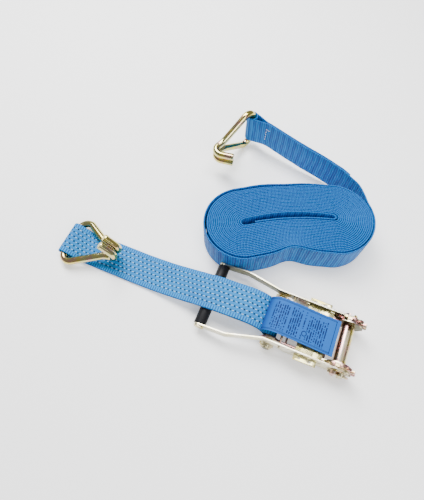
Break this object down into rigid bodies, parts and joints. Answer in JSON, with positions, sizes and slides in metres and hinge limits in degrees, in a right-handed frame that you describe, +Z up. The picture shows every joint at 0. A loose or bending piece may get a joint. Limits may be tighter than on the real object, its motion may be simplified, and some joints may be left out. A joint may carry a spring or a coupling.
{
  "type": "ratchet strap",
  "caption": "Ratchet lashing set of blue polyester webbing: a fixed short end on a wide-handle ratchet, a rolled long end beside it, and a double-J wire hook on each.",
  "frame": {"origin": "centre of the spool's winding slot, on the spool's axis, with the ratchet closed", "axes": "+X from the grip towards the spool along the closed handle; +Y along the spool's axis, towards the rolled long end; +Z up, away from the ground, through the winding slot"},
  "size_m": [0.4532, 0.3523, 0.0801],
  "materials": {
    "frame_plate": "pink-yellow zinc plate, satin",
    "bolt_zinc": "yellow zinc plate, satin",
    "handle_plate": "pale yellow zinc plate, satin",
    "rod_zinc": "yellow zinc plate, satin",
    "grip": "black moulded plastic, semi-gloss",
    "pawl_plate": "pale yellow zinc plate, satin",
    "spring_steel": "drawn spring steel",
    "spool_bar": "pale yellow zinc plate, satin",
    "wheel_steel": "pink-brown zinc plate, satin",
    "small_zinc": "pale zinc plate, satin",
    "webbing": "woven polyester, light blue, with cream stitching",
    "label_cloth": null,
    "hook_wire": "iridescent yellow zinc plate, glossy"
  },
  "bodies": {
    "frame": {"frame_plate_left": "frame_plate", "frame_plate_right": "frame_plate", "tail_bolt": "bolt_zinc", "tail_nut": "bolt_zinc", "tail_sleeve": "bolt_zinc", "lock_spring_seat": "frame_plate", "lock_spring": "spring_steel", "label": "label_cloth"},
    "handle": {"handle_arm_left": "handle_plate", "handle_arm_right": "handle_plate", "grip_rod": "rod_zinc", "grip_sleeve": "grip", "pawl_spring_seat": "handle_plate", "pawl_spring": "spring_steel"},
    "drive_pawl": {"drive_pawl": "pawl_plate"},
    "lock_plate": {"lock_plate": "pawl_plate"},
    "spool": {"spool_half_front": "spool_bar", "spool_half_rear": "spool_bar", "ratchet_wheel_left": "wheel_steel", "ratchet_wheel_right": "wheel_steel", "spool_washer_left": "small_zinc", "spool_washer_right": "small_zinc", "split_pin_left": "small_zinc", "split_pin_right": "small_zinc"},
    "short_strap": {"short_strap": "webbing"},
    "hook_short": {"hook_short": "hook_wire"},
    "long_strap": {"roll_front": "webbing", "roll_back": "webbing", "roll_end_near_spool": "webbing", "roll_end_near_grip": "webbing", "long_strap_lead": "webbing", "long_strap_eye": "webbing"},
    "hook_long": {"hook_long": "hook_wire"}
  },
  "joints": [
    {"name": "handle_pivot", "type": "hinge", "parent": "frame", "child": "handle", "pos_m": [0, 0, 0], "axis": [0, 1, 0], "range_deg": [0, 170], "deforming": ["label"]},
    {"name": "drive_pawl_slide", "type": "slide", "parent": "handle", "child": "drive_pawl", "axis": [-1, 0, 0], "range_m": [-0.005, 0.004], "stiffness_N_per_m": 150, "deforming": ["pawl_spring"]},
    {"name": "lock_plate_slide", "type": "slide", "parent": "frame", "child": "lock_plate", "axis": [-1, 0, 0], "range_m": [0, 0.007], "stiffness_N_per_m": 150, "deforming": ["lock_spring"]},
    {"name": "spool_spin", "type": "hinge", "parent": "frame", "child": "spool", "pos_m": [0, 0, 0], "axis": [0, 1, 0], "continuous": true},
    {"name": "short_strap_swing", "type": "hinge", "parent": "frame", "child": "short_strap", "pos_m": [-0.094, 0, -0.0095], "axis": [0, 1, 0], "range_deg": [0, 45], "deforming": ["label"]},
    {"name": "hook_short_swing", "type": "hinge", "parent": "short_strap", "child": "hook_short", "pos_m": [-0.421, 0, -0.01277], "axis": [0, -1, 0], "range_deg": [0, 165]},
    {"name": "long_strap_lift", "type": "slide", "parent": "frame", "child": "long_strap", "axis": [0, 0, 1], "range_m": [0, 0.2]},
    {"name": "hook_long_swing", "type": "hinge", "parent": "long_strap", "child": "hook_long", "pos_m": [-0.23898, 0.29214, 0.0185], "axis": [0, 0, 1], "range_deg": [-220, 60]}
  ]
}
